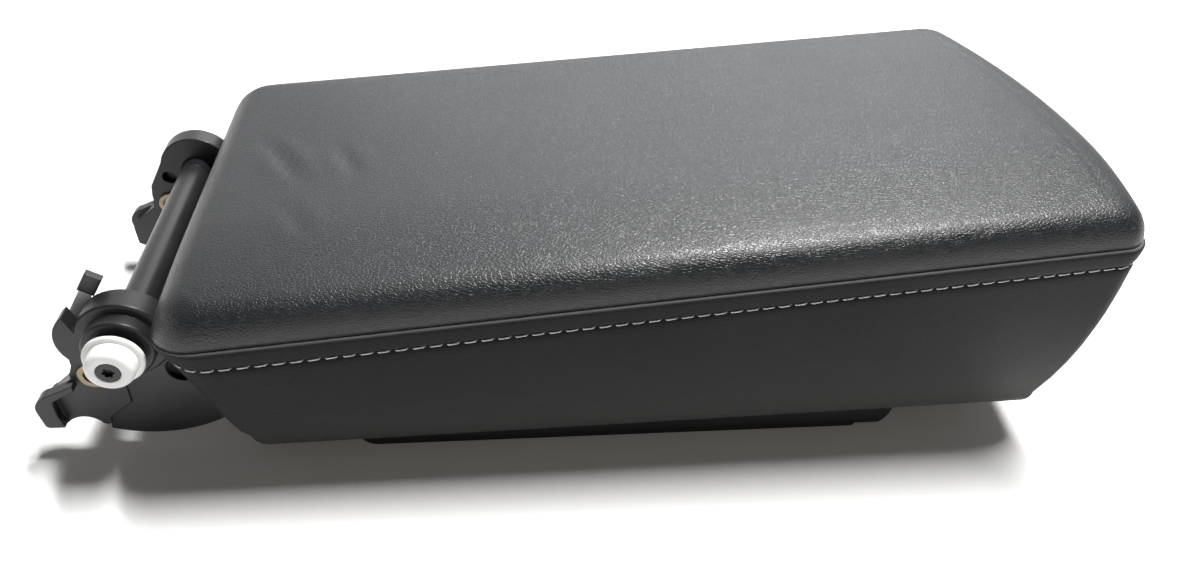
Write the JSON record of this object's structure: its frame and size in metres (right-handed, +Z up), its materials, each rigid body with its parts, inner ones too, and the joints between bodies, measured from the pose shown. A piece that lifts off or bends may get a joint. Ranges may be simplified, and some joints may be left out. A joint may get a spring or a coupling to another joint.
{
  "type": "car centre armrest",
  "caption": "Padded leather centre armrest lid on a rear hinge with two moulded clawed brackets, a tube on an axle, white end bushes and a plastic tray underneath.",
  "frame": {"origin": "centre of the object's box, at the level of the tray's underside, on which it rests", "axes": "+X to the front end of the lid, +Y to the right side, +Z up"},
  "size_m": [0.374, 0.1636, 0.1165],
  "materials": {
    "leather": "grained, semi-matt",
    "foam": "matt",
    "moulded_black": "fine moulded texture",
    "tray_black": "satin",
    "bush_white": "satin",
    "dark_steel": "satin",
    "bright_steel": "bright",
    "sleeve_brass": "dull",
    "cap_rubber": "matt",
    "liner_plastic": "satin"
  },
  "bodies": {
    "hinge_base": {"left_bracket": "moulded_black", "right_bracket": "moulded_black", "left_bolt_sleeve": "sleeve_brass", "right_bolt_sleeve": "sleeve_brass", "pivot_axle": "dark_steel", "left_serrated_collar": "liner_plastic", "right_serrated_collar": "liner_plastic", "left_pivot_bush": "bush_white", "right_pivot_bush": "bush_white", "left_bush_screw": "dark_steel", "right_bush_screw": "dark_steel", "stop_strip": "bright_steel", "stop_cap": "cap_rubber"},
    "lid": {"hinge_tube": "dark_steel", "left_tube_liner": "liner_plastic", "right_tube_liner": "liner_plastic", "left_tube_arm": "dark_steel", "right_tube_arm": "dark_steel", "arm_screws": "dark_steel", "carrier_frame": "moulded_black", "foam_core": "foam", "top_cover": "leather", "side_cover": "leather", "lower_tray": "tray_black", "tray_screws": "dark_steel"}
  },
  "joints": [
    {"name": "lid_hinge", "type": "hinge", "parent": "hinge_base", "child": "lid", "pos_m": [-0.15427, 0, 0.0523], "axis": [0, -1, 0], "range_deg": [0, 58]}
  ]
}
